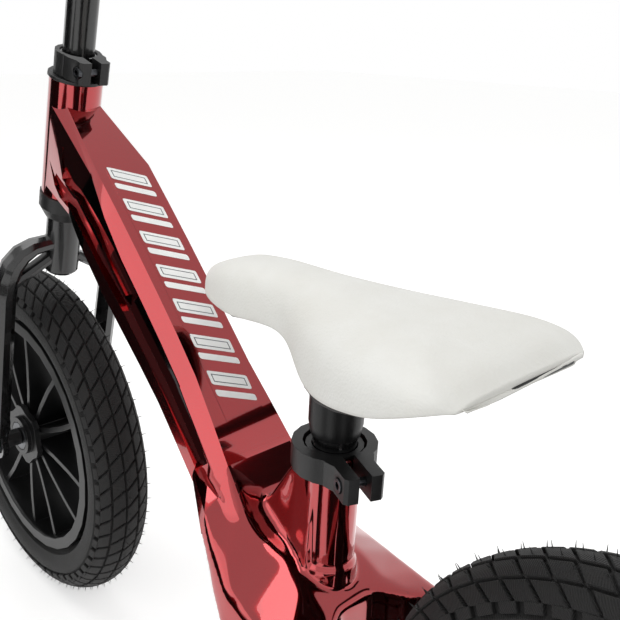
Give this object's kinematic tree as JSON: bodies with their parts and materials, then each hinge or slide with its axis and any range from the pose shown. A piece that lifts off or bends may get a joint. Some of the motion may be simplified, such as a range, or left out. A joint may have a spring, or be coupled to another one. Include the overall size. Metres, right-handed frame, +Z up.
{
  "type": "balance bike",
  "caption": "Child's balance bike: one-piece box-beam frame, braced fork, T-bar, moulded ribbed wheels with pneumatic tyres, and a padded saddle on a clamped post.",
  "frame": {"origin": "on the ground, midway between the two axles, in the bike's middle plane", "axes": "-X forwards, -Y to the rider's left, +Z up; both axles run along Y"},
  "size_m": [0.863, 0.422, 0.594],
  "materials": {
    "candy_red": "candy lacquer over bright metal, very glossy",
    "gloss_black": "gloss black paint",
    "satin_black": "satin black",
    "wheel_black": "moulded nylon, semi-gloss",
    "tyre_rubber": "matt rubber",
    "grip_rubber": "matt rubber",
    "bright_steel": "zinc plated and bright steel",
    "white_vinyl": "smooth matt off-white vinyl over foam"
  },
  "bodies": {
    "frame": {"frame": "candy_red", "headset_lower_cup": "gloss_black", "headset_upper_cup": "gloss_black", "headset_lower_bearing": "bright_steel", "headset_upper_bearing": "bright_steel", "seat_clamp": "satin_black", "seat_clamp_bolt": "bright_steel", "seat_tube_shim": "satin_black", "rear_axle": "bright_steel", "rear_spacer_left": "bright_steel", "rear_spacer_right": "bright_steel", "rear_washer_left": "bright_steel", "rear_washer_right": "bright_steel", "rear_nut_left": "bright_steel", "rear_nut_right": "bright_steel"},
    "fork": {"fork": "gloss_black", "crown_race": "bright_steel", "stem_clamp": "satin_black", "stem_clamp_bolt": "bright_steel", "front_axle": "bright_steel", "front_spacer_left": "bright_steel", "front_spacer_right": "bright_steel", "front_washer_left": "bright_steel", "front_washer_right": "bright_steel", "front_nut_left": "bright_steel", "front_nut_right": "bright_steel"},
    "handlebar": {"handlebar": "gloss_black", "grip_left": "grip_rubber", "grip_right": "grip_rubber"},
    "front_wheel": {"front_wheel": "wheel_black", "front_tyre": "tyre_rubber", "front_valve": "bright_steel", "front_bearing_left": "bright_steel", "front_bearing_right": "bright_steel"},
    "rear_wheel": {"rear_wheel": "wheel_black", "rear_tyre": "tyre_rubber", "rear_valve": "bright_steel", "rear_bearing_left": "bright_steel", "rear_bearing_right": "bright_steel"},
    "saddle": {"seatpost": "bright_steel", "saddle_base": "satin_black", "saddle_cover": "white_vinyl"}
  },
  "joints": [
    {"name": "steering", "type": "hinge", "parent": "frame", "child": "fork", "pos_m": [-0.27946, 0, 0.14744], "axis": [0.2874, 0, 0.9578], "range_deg": [-90, 90]},
    {"name": "handlebar_height", "type": "slide", "parent": "fork", "child": "handlebar", "axis": [0.2874, 0, 0.9578], "range_m": [0, 0.05]},
    {"name": "front_wheel_spin", "type": "hinge", "parent": "fork", "child": "front_wheel", "pos_m": [-0.283, 0, 0.1485], "axis": [0, 1, 0], "continuous": true},
    {"name": "rear_wheel_spin", "type": "hinge", "parent": "frame", "child": "rear_wheel", "pos_m": [0.283, 0, 0.1485], "axis": [0, 1, 0], "continuous": true},
    {"name": "saddle_height", "type": "slide", "parent": "frame", "child": "saddle", "axis": [0.0262, 0, 0.9997], "range_m": [0, 0.05]}
  ]
}
